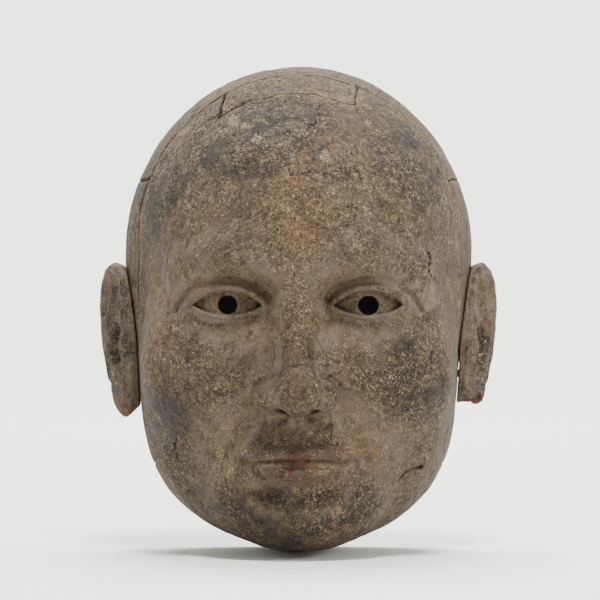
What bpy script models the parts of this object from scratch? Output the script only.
"""Carved wooden mask: joined blocks, dowels and seam cloth.

Lengths in this file are millimetres; the objects are made in metres. The face looks along -Y, +Z is up, and the
origin is on the rear rim plane, on the midline, at the height of the eyes. "Left" is the left side as seen by someone
looking at the face, which is -X.
"""

import math

import bpy
import numpy as np
from mathutils import Matrix, Vector

MM = 0.001
OBJECT_NAME = "noh_mask"

# Proportions: the head is seven parts high with the hairline one part down; brow, nose base and chin divide the rest
# in three; the head is five eye widths wide.
TOP_Z = 120.0
CHIN_Z = -120.0
HALF_WIDTH = 87.0
HAIRLINE_Z = TOP_Z - (TOP_Z - CHIN_Z) / 7
FACE_THIRD = (HAIRLINE_Z - CHIN_Z) / 3
BROW_Z = HAIRLINE_Z - FACE_THIRD
NOSE_BASE_Z = BROW_Z - FACE_THIRD
MOUTH_Z = NOSE_BASE_Z - FACE_THIRD / 3
EYE_WIDTH = 2 * HALF_WIDTH / 5
EYE_X = 0.96 * EYE_WIDTH
EYE_Y = -83.5
EYEBALL_R = 21.0
LID = 2.0

WALL = 10.0
SOCKET_WALL = 8.0
GAP = 0.3
SEAM_Y = -42.0
CROWN_SEAM_Z = 62.0
CHIN_SEAM_Z = -78.0
INSERT_LEFT_X = -36.0
INSERT_RIGHT_X = 28.0
INSERT_EDGE = (0.0, -66.0, 100.0)
INSERT_TILT = math.radians(28)

PUPIL_R = 4.8
PUPIL_INNER_R = 8.0
NOSTRIL_R = 2.8
CORD_HOLE_R = 3.2
CORD_HOLE_Y = -13.0
CORD_HOLE_Z = 38.0

PIN_R = 2.0
PIN_HOLE_R = PIN_R + GAP
PIN_LENGTH = 20.0
EAR_PIN_LENGTH = 12.0
EAR_PIN_HEIGHTS = (6.0, -34.0)
PIN_SIDES = 16

CLOTH_THICKNESS = 1.2
CLOTH_WIDTH = 26.0

EAR_CENTRE = (88.0, -17.0, -16.0)
EAR_TILT = math.radians(28)
BROKEN_LOBE_Z = -47.0

FORM_STEP = 1.6
CAVITY_STEP = 3.0
EAR_STEP = 1.2
FORM_RATIO = 0.055
CAVITY_RATIO = 0.08
EAR_RATIO = 0.055
FAR = 170.0

LACQUER_COLOUR = (0.19, 0.15, 0.105)
DOWEL_COLOUR = (0.36, 0.25, 0.13)
CLOTH_COLOUR = (0.10, 0.075, 0.055)


# ---- distance fields -------------------------------------------------------------------------------------------


def mirrored(points):
    """The points with both halves folded onto +X, so that a paired feature is described once."""
    return np.abs(points) * (1, 0, 0) + points * (0, 1, 1)


def ellipsoid(points, centre, radii):
    scaled = (points - np.array(centre)) / np.array(radii)
    reach = np.linalg.norm(scaled, axis=1)
    slope = np.linalg.norm(scaled / np.array(radii), axis=1)
    return reach * (reach - 1) / np.maximum(slope, 1e-9)


def rod(points, start, end, start_r, end_r):
    """A round bar that tapers from one end to the other."""
    start = np.array(start)
    along = np.array(end) - start
    offset = points - start
    share = np.clip(offset @ along / (along @ along), 0, 1)
    return np.linalg.norm(offset - share[:, None] * along, axis=1) - (start_r + share * (end_r - start_r))


def bent_rod(points, stations):
    """A bar through (x, y, z, radius) stations."""
    spans = zip(stations, stations[1:])
    return np.minimum.reduce([rod(points, a[:3], b[:3], a[3], b[3]) for a, b in spans])


def join(first, second, blend):
    """Both shapes as one, with a fillet about as wide as blend."""
    near = np.maximum(blend - np.abs(first - second), 0) / blend
    return np.minimum(first, second) - near * near * blend / 4


def carve(form, tool, blend):
    return -join(-form, tool, blend)


def groove(form, line, radius, blend):
    """A round groove in the form's own skin, where the line's value is zero."""
    return carve(form, np.hypot(line, form) - radius, blend)


# ---- the carved head -------------------------------------------------------------------------------------------


def bare_head(points):
    """The head's mass without its features."""
    q = mirrored(points)
    form = ellipsoid(q, (0, -2, 24), (HALF_WIDTH, 112, TOP_Z - 24))
    form = join(form, ellipsoid(q, (0, -14, -42), (72, 88, -42 - CHIN_Z)), 30)
    form = join(form, ellipsoid(q, (41, -34, -60), (27, 40, 36)), 30)
    form = join(form, ellipsoid(q, (0, -56, -84), (46, 44, 32)), 20)
    form = join(form, ellipsoid(q, (42, -72, -26), (27, 27, 25)), 30)
    form = join(form, ellipsoid(q, (0, -84, MOUTH_Z + 2), (34, 23, 27)), 22)
    form = join(form, ellipsoid(q, (0, -82, -95), (30, 22, 19)), 22)
    return carve(form, ellipsoid(q, (102, -72, 22), (20, 32, 28)), 24)


def with_sockets(form, q):
    form = join(form, rod(q, (10, -104, BROW_Z - 2), (30, -103, BROW_Z + 5), 5.5, 5.5), 18)
    form = join(form, rod(q, (30, -103, BROW_Z + 5), (54, -87, BROW_Z), 5.5, 4), 18)
    form = carve(form, ellipsoid(q, (EYE_X + 1, -116, -1), (23, 16, 13.5)), 13)
    return carve(form, ellipsoid(q, (17, -113, 0), (5.5, 11, 10)), 10)


def with_eyes(form, q):
    """Lids that follow the eyeball, parted by an almond opening, with a crease above."""
    centre = np.array((EYE_X, EYE_Y, 0))
    lid_skin = np.linalg.norm(q - centre, axis=1) - EYEBALL_R - LID
    form = join(form, np.maximum(lid_skin, ellipsoid(q, centre, (24, 60, 13.5))), 6)
    upper = np.hypot(q[:, 0] - EYE_X, q[:, 2] + 15.5) - 22.6
    lower = np.hypot(q[:, 0] - EYE_X, q[:, 2] - 24.5) - 29.5
    form = groove(form, np.hypot(upper - 6.5, np.maximum(-3 - q[:, 2], 0)), 1.5, 3)
    form = carve(form, np.maximum(np.maximum(upper, lower), q[:, 1] - EYE_Y), 1.5)
    return join(form, lid_skin + LID, 1.5)


def with_nose(form, q):
    form = join(form, rod(q, (0, -104, BROW_Z - 4), (0, -119, NOSE_BASE_Z + 14), 6.2, 8.0), 12)
    form = join(form, rod(q, (5, -101, BROW_Z - 24), (9, -107, NOSE_BASE_Z + 12), 5, 8), 10)
    form = join(form, ellipsoid(q, (0, -122, NOSE_BASE_Z + 10), (11, 11, 9.5)), 8)
    form = join(form, ellipsoid(q, (12.2, -111, NOSE_BASE_Z + 8), (6.8, 11, 7.8)), 5)
    form = join(form, rod(q, (0, -123, NOSE_BASE_Z + 4.0), (0, -106, NOSE_BASE_Z - 1), 3.6, 4), 4)
    return carve(form, rod(q, (7.4, -119, NOSE_BASE_Z - 2), (8, -109, NOSE_BASE_Z + 6), 3.8, 2.6), 2)


def with_mouth(form, q):
    half = 26.0
    form = carve(form, rod(q, (0, -113.5, NOSE_BASE_Z - 5), (0, -115, MOUTH_Z + 9), 3.2, 3.8), 4)
    form = join(form, rod(q, (6, -108, MOUTH_Z + 4.2), (half - 4, -101, MOUTH_Z + 0.8), 6.4, 3.0), 3)
    form = join(form, ellipsoid(q, (0, -109, MOUTH_Z + 2.4), (8, 6.5, 5.2)), 3)
    form = join(form, rod(q, (0, -107, MOUTH_Z - 6.4), (half - 7, -101, MOUTH_Z - 2.6), 8.2, 3.8), 3)
    bow = 0.9 * np.exp(-((q[:, 0] - 9) / 6) ** 2) - 0.5 * np.exp(-(q[:, 0] / 4) ** 2)
    parting = np.hypot(q[:, 2] - MOUTH_Z - bow, np.maximum(q[:, 0] - half, 0))
    form = groove(form, parting, 1.5, 1.8)
    form = carve(form, rod(q, (0, -113.5, MOUTH_Z - 18), (17, -109, MOUTH_Z - 16.5), 4.5, 3.5), 10)
    return carve(form, rod(q, (21, -108, NOSE_BASE_Z + 4), (35, -101, MOUTH_Z + 4), 1.2, 1.0), 9)


def carved_head(points):
    """The outside of the mask, as a distance that is negative inside the wood."""
    q = mirrored(points)
    form = with_sockets(bare_head(points), q)
    form = with_eyes(form, q)
    form = with_nose(form, q)
    form = with_mouth(form, q)
    return np.maximum(form, points[:, 1] - 8)


def cavity(points):
    """The hollow for the head: a wall inside the bare form, and behind the eye sockets."""
    q = mirrored(points)
    bare = bare_head(points)
    hollow = join(bare + WALL, ellipsoid(q, (0, -96, NOSE_BASE_Z + 9), (10, 14, 12)), 8)
    hollow = carve(hollow, -with_sockets(bare, q) - SOCKET_WALL, 4)
    return np.maximum(hollow, points[:, 1] - 12)


# ---- ears ------------------------------------------------------------------------------------------------------


def ear_frame(points, side):
    """Ear coordinates: towards the back, up, and outward from the ear's own face."""
    local = points * (side, 1, 1) - np.array(EAR_CENTRE)
    back = local[:, 1] * math.cos(EAR_TILT) + local[:, 0] * math.sin(EAR_TILT)
    out = local[:, 0] * math.cos(EAR_TILT) - local[:, 1] * math.sin(EAR_TILT)
    return np.stack([back, local[:, 2], out], axis=1)


def ear(points, side):
    e = ear_frame(points, side)
    form = ellipsoid(e, (0, 6, 0), (17, 30, 5))
    form = join(form, ellipsoid(e, (-4, -27, 0), (10, 13, 4.6)), 8)
    form = join(form, ellipsoid(e, (-9, -2, -6), (9, 30, 9)), 8)
    helix = bent_rod(e, [(-6, 4, 3, 1.8), (-12, 16, 3.5, 2.4), (-9, 28, 3.5, 2.8), (2, 34, 3, 3.0),
                         (12, 28, 2.5, 3.0), (16, 14, 2, 2.8), (14, -4, 2, 2.6), (7, -20, 2, 2.2)])
    form = join(form, helix, 3)
    form = join(form, bent_rod(e, [(2, 22, 3.5, 2.0), (6, 8, 4, 2.4), (5, -8, 4, 2.4), (-2, -16, 4, 2.6)]), 3)
    form = carve(form, ellipsoid(e, (-3, -3, 7), (7, 11, 7)), 3)
    form = join(form, ellipsoid(e, (-12, -4, 3), (4.5, 7, 4.5)), 3)
    if side > 0:
        ragged = points[:, 2] - BROKEN_LOBE_Z + 1.6 * np.sin(0.9 * points[:, 1]) + 0.25 * (points[:, 1] + 17)
        form = np.maximum(form, -ragged)
    return np.maximum(form, points[:, 1] + 1.0)


# ---- meshes from fields ----------------------------------------------------------------------------------------


def crossing_points(values, low, step):
    """For each grid cell that the surface passes through, the mean of its crossings with the cell's edges."""
    cells = tuple(n - 1 for n in values.shape)
    total = np.zeros(cells + (3,))
    count = np.zeros(cells)
    for axis in range(3):
        for a in (0, 1):
            for b in (0, 1):
                start = [0, 0, 0]
                start[(axis + 1) % 3] = a
                start[(axis + 2) % 3] = b
                end = list(start)
                end[axis] = 1
                v0, v1 = (values[tuple(slice(s, s + n) for s, n in zip(o, cells))] for o in (start, end))
                crossed = (v0 < 0) != (v1 < 0)
                share = np.where(crossed, v0 / np.where(crossed, v0 - v1, 1), 0)
                total[..., axis] += share
                total += np.array(start) * crossed[..., None]
                count += crossed
    index = np.argwhere(count > 0)
    where = tuple(index.T)
    points = (index + total[where] / count[where][:, None]) * step + low
    ids = np.full(cells, -1)
    ids[where] = np.arange(len(index))
    return points, ids


def crossing_faces(inside, ids):
    """One quad round each grid edge that the surface crosses, wound to face outwards."""
    faces = []
    for axis in range(3):
        order = ((axis + 1) % 3, (axis + 2) % 3, axis)
        solid = np.transpose(inside, order)
        cell = np.transpose(ids, order)
        a, b, c = np.nonzero(solid[1:-1, 1:-1, :-1] != solid[1:-1, 1:-1, 1:])
        quads = np.stack([cell[a, b, c], cell[a + 1, b, c], cell[a + 1, b + 1, c], cell[a, b + 1, c]], axis=1)
        inward = ~solid[a + 1, b + 1, c]
        quads[inward] = quads[inward][:, ::-1]
        faces.append(quads)
    return np.concatenate(faces)


def field_object(name, field, low, high, step, ratio, collection):
    """A closed mesh of the surface where the field is zero, thinned to a share of its triangles."""
    low = np.array(low, float)
    axes = [np.arange(a, b + step, step) for a, b in zip(low, high)]
    grid = np.stack(np.meshgrid(*axes, indexing="ij"), axis=-1)
    values = field(grid.reshape(-1, 3)).reshape(grid.shape[:3])
    points, ids = crossing_points(values, low, step)
    faces = crossing_faces(values < 0, ids)
    mesh = bpy.data.meshes.new(name)
    mesh.from_pydata((points * MM).tolist(), [], faces.tolist())
    made = add_object(name, mesh, collection)
    thin(made, ratio)
    return made


def thin(target, ratio):
    modifier = target.modifiers.new("thin", "DECIMATE")
    modifier.ratio = ratio
    modifier.use_collapse_triangulate = True


# ---- objects ---------------------------------------------------------------------------------------------------


def new_collection(name):
    collection = bpy.data.collections.new(name)
    bpy.context.scene.collection.children.link(collection)
    return collection


def add_object(name, mesh, collection):
    made = bpy.data.objects.new(name, mesh)
    collection.objects.link(made)
    if collection.hide_render:
        made.hide_render = True
        made.display_type = "WIRE"
    return made


def keep_primitive(name, collection):
    """Names the primitive that was just added and moves it into the collection."""
    made = bpy.context.object
    mesh = made.data
    matrix = made.matrix_world.copy()
    bpy.data.objects.remove(made)
    mesh.name = name
    mesh.transform(matrix)
    return add_object(name, mesh, collection)


def box(name, low, high, collection, tilt=0.0, pivot=(0, 0, 0)):
    """A box between two corners, then turned about the X direction through the pivot."""
    low = Vector(low)
    high = Vector(high)
    bpy.ops.mesh.primitive_cube_add(size=1)
    size = (high - low) * MM
    to_pivot = Matrix.Translation(Vector(pivot) * MM)
    turn = to_pivot @ Matrix.Rotation(tilt, 4, "X") @ to_pivot.inverted()
    bpy.context.object.matrix_world = turn @ Matrix.Translation((low + high) * MM / 2) @ Matrix.Diagonal((*size, 1))
    bpy.context.view_layer.update()
    return keep_primitive(name, collection)


def bar(name, start, end, start_r, end_r, sides, collection):
    """A round bar or cone between two points."""
    start = Vector(start) * MM
    end = Vector(end) * MM
    along = end - start
    bpy.ops.mesh.primitive_cone_add(vertices=sides, radius1=start_r * MM, radius2=end_r * MM, depth=along.length)
    turn = along.to_track_quat("Z", "Y").to_matrix().to_4x4()
    bpy.context.object.matrix_world = Matrix.Translation((start + end) / 2) @ turn
    bpy.context.view_layer.update()
    return keep_primitive(name, collection)


def boolean(target, operation, tool):
    modifier = target.modifiers.new(f"{operation.lower()} {tool.name}", "BOOLEAN")
    modifier.operation = operation
    modifier.solver = "EXACT"
    modifier.object = tool


def cut(target, *tools):
    for tool in tools:
        boolean(target, "DIFFERENCE", tool)


def material(name, colour, roughness):
    made = bpy.data.materials.new(name)
    made.use_nodes = True
    shader = made.node_tree.nodes["Principled BSDF"]
    shader.inputs["Base Color"].default_value = (*colour, 1)
    shader.inputs["Roughness"].default_value = roughness
    shader.inputs["Metallic"].default_value = 0.0
    made.diffuse_color = (*colour, 1)
    return made


def finish(target, colour, roughness):
    target.data.materials.clear()
    target.data.materials.append(material(target.name, colour, roughness))


# ---- the wall, and the dowels in it ----------------------------------------------------------------------------


def wall_middle(angle, y, centre_z=0.0):
    """The middle of the wall on a ray from the axis, at an angle from +X in the plane at this y."""
    way = np.array((math.cos(angle), 0, math.sin(angle)))
    reach = np.arange(20, 140, 0.25)
    points = np.array((0, y, centre_z)) + reach[:, None] * way
    outer = reach[np.nonzero(carved_head(points) < 0)[0][-1]]
    inner = reach[np.nonzero(cavity(points) < 0)[0][-1]]
    return Vector(points[0] + way * ((outer + inner) / 2 - reach[0]))


def dowel(name, start, end, hosts, visible, helpers):
    """A chamfered peg between two points, and a hole for it in each host."""
    start = Vector(start)
    end = Vector(end)
    peg = bar(name, start, end, PIN_R, PIN_R, PIN_SIDES, visible)
    edges = peg.modifiers.new("chamfer", "BEVEL")
    edges.width = 0.4 * MM
    edges.segments = 1
    edges.limit_method = "ANGLE"
    spare = (end - start).normalized() * GAP
    hole = bar(f"{name}_hole", start - spare, end + spare, PIN_HOLE_R, PIN_HOLE_R, PIN_SIDES, helpers)
    cut(hosts[0], hole)
    cut(hosts[1], hole)
    finish(peg, DOWEL_COLOUR, 0.7)


def seam_dowel(name, angle, hosts, visible, helpers):
    """A dowel across the long seam, following the wall."""
    front = wall_middle(angle, SEAM_Y - PIN_LENGTH / 2)
    back = wall_middle(angle, SEAM_Y + PIN_LENGTH / 2)
    middle = (front + back) / 2
    reach = (back - front).normalized() * PIN_LENGTH / 2
    dowel(name, middle - reach, middle + reach, hosts, visible, helpers)


def crown_side_dowel(name, side, hosts, visible, helpers):
    """A dowel from a side block up into the crown block, following the wall."""
    y = SEAM_Y / 2
    low = wall_middle(math.atan2(CROWN_SEAM_Z - 8, 68), y)
    high = wall_middle(math.atan2(CROWN_SEAM_Z + 8, 56), y)
    middle = (low + high) / 2
    middle += (high - low) * (CROWN_SEAM_Z - middle.z) / (high.z - low.z)
    reach = (high - low).normalized() * PIN_LENGTH / 2
    mirror = Vector((side, 1, 1))
    dowel(name, (middle - reach) * mirror, (middle + reach) * mirror, hosts, visible, helpers)


def ear_dowel(name, side, z, hosts, visible, helpers):
    """A short dowel from the side block out into the root of an ear."""
    y = EAR_CENTRE[1]
    middle = wall_middle(0, y, z)
    start = Vector((side * (middle.x - 1.0), y, z))
    end = start + Vector((side * EAR_PIN_LENGTH, 0, 0))
    dowel(name, start, end, hosts, visible, helpers)


# ---- building --------------------------------------------------------------------------------------------------


def make_forms(helpers):
    low = (-100, -142, -126)
    high = (100, 14, 126)
    outer = field_object("outer_form", carved_head, low, high, FORM_STEP, FORM_RATIO, helpers)
    hollow = field_object("cavity_form", cavity, low, high, CAVITY_STEP, CAVITY_RATIO, helpers)
    return outer, hollow


def make_block(name, low, high, forms, visible):
    """A block of the mask's wall within a box."""
    outer, hollow = forms
    made = box(name, low, high, visible)
    boolean(made, "INTERSECT", outer)
    cut(made, hollow)
    finish(made, LACQUER_COLOUR, 0.75)
    return made


def make_blocks(forms, visible, helpers):
    half = GAP / 2
    face = make_block("face_block", (-FAR, -FAR, -FAR), (FAR, 0, FAR), forms, visible)
    crown = make_block("crown_block", (-FAR, SEAM_Y + half, CROWN_SEAM_Z + half), (FAR, 0, FAR), forms, visible)
    sides = {
        side: make_block(
            f"side_block_{word}",
            (min(side * FAR, 0), SEAM_Y + half, CHIN_SEAM_Z + half),
            (max(side * FAR, 0), 0, CROWN_SEAM_Z - half),
            forms,
            visible,
        )
        for side, word in ((-1, "left"), (1, "right"))
    }
    cut(face, box("rear_rebate", (-FAR, SEAM_Y - half, CHIN_SEAM_Z - half), (FAR, FAR, FAR), helpers))
    return face, crown, sides


def make_insert(face, forms, visible, helpers):
    """The piece let into the top of the forehead, with a tilted front edge."""
    x, y, z = INSERT_EDGE
    half = GAP / 2
    notch = box("insert_notch", (INSERT_LEFT_X, y, z - 60), (INSERT_RIGHT_X, y + 90, z + 60), helpers,
                INSERT_TILT, INSERT_EDGE)
    cut(face, notch)
    insert = box("forehead_insert", (INSERT_LEFT_X + GAP, y + GAP, z - 60), (INSERT_RIGHT_X - GAP, y + 90, z + 60),
                 visible, INSERT_TILT, INSERT_EDGE)
    outer, hollow = forms
    boolean(insert, "INTERSECT", outer)
    cut(insert, hollow)
    cut(insert, box("insert_back", (-FAR, SEAM_Y - half, -FAR), (FAR, FAR, FAR), helpers))
    finish(insert, LACQUER_COLOUR, 0.75)
    return insert


def offset_copy(name, source, distance, helpers):
    """The same surface moved out along its normals, or in where the distance is negative."""
    made = add_object(name, source.data, helpers)
    thin(made, source.modifiers[0].ratio)
    move = made.modifiers.new("offset", "DISPLACE")
    move.strength = distance * MM
    move.mid_level = 0
    return made


def make_ear(side, word, seat, visible):
    x, y, z = EAR_CENTRE
    low = (min(side * (x - 16), side * (x + 26)), y - 26, z - 46)
    high = (max(side * (x - 16), side * (x + 26)), y + 22, z + 46)
    made = field_object(f"ear_{word}", lambda points: ear(points, side), low, high, EAR_STEP, EAR_RATIO, visible)
    cut(made, seat)
    finish(made, LACQUER_COLOUR, 0.75)
    return made


def make_cloths(hollow, visible, helpers):
    """Strips of cloth on the inside of the wall, over the seams."""
    back = offset_copy("cloth_back", hollow, -GAP, helpers)
    front = offset_copy("cloth_front", hollow, -GAP - CLOTH_THICKNESS, helpers)
    half = CLOTH_WIDTH / 2
    ends = {
        "crown_seam_cloth": ((-FAR, CROWN_SEAM_Z + GAP), (FAR, FAR)),
        "side_seam_cloth_left": ((-FAR, CHIN_SEAM_Z - half), (0, CROWN_SEAM_Z)),
        "side_seam_cloth_right": ((0, CHIN_SEAM_Z - half), (FAR, CROWN_SEAM_Z)),
    }
    for name, ((x0, z0), (x1, z1)) in ends.items():
        made = box(name, (x0, SEAM_Y - half, z0), (x1, SEAM_Y + half, z1), visible)
        boolean(made, "INTERSECT", back)
        cut(made, front)
        finish(made, CLOTH_COLOUR, 0.9)


def make_openings(face, sides, helpers):
    """Pupils, nostrils and cord holes."""
    for side, word in ((-1, "left"), (1, "right")):
        mirror = Vector((side, 1, 1))
        holes = (
            ("pupil", face, (EYE_X, -112, 0), (EYE_X, -78, 0), PUPIL_R - 0.8, PUPIL_INNER_R),
            ("nostril", face, (7.2, -121, NOSE_BASE_Z - 4), (5, -98, NOSE_BASE_Z + 10), NOSTRIL_R, NOSTRIL_R),
            ("cord_hole", sides[side], (60, CORD_HOLE_Y, CORD_HOLE_Z), (110, CORD_HOLE_Y, CORD_HOLE_Z),
             CORD_HOLE_R, CORD_HOLE_R),
        )
        for name, block, start, end, start_r, end_r in holes:
            tool = bar(f"{name}_{word}", Vector(start) * mirror, Vector(end) * mirror, start_r, end_r, 24, helpers)
            cut(block, tool)


def main():
    for old in list(bpy.data.objects):
        bpy.data.objects.remove(old)
    visible = new_collection(OBJECT_NAME)
    helpers = new_collection("cutters")
    helpers.hide_render = True
    forms = make_forms(helpers)
    face, crown, sides = make_blocks(forms, visible, helpers)
    insert = make_insert(face, forms, visible, helpers)
    make_openings(face, sides, helpers)
    for number, (degrees, host) in enumerate(((132, face), (101, insert), (83, insert), (48, face)), 1):
        seam_dowel(f"crown_pin_{number}", math.radians(degrees), (crown, host), visible, helpers)
    make_cloths(forms[1], visible, helpers)
    seat = offset_copy("ear_seat", forms[0], GAP, helpers)
    for side, word in ((-1, "left"), (1, "right")):
        ear_made = make_ear(side, word, seat, visible)
        for number, degrees in ((1, 26), (2, -33)):
            angle = math.radians(degrees if side > 0 else 180 - degrees)
            seam_dowel(f"side_pin_{word}_{number}", angle, (sides[side], face), visible, helpers)
            ear_dowel(f"ear_pin_{word}_{number}", side, EAR_PIN_HEIGHTS[number - 1], (sides[side], ear_made),
                      visible, helpers)
        crown_side_dowel(f"crown_side_pin_{word}", side, (sides[side], crown), visible, helpers)


main()
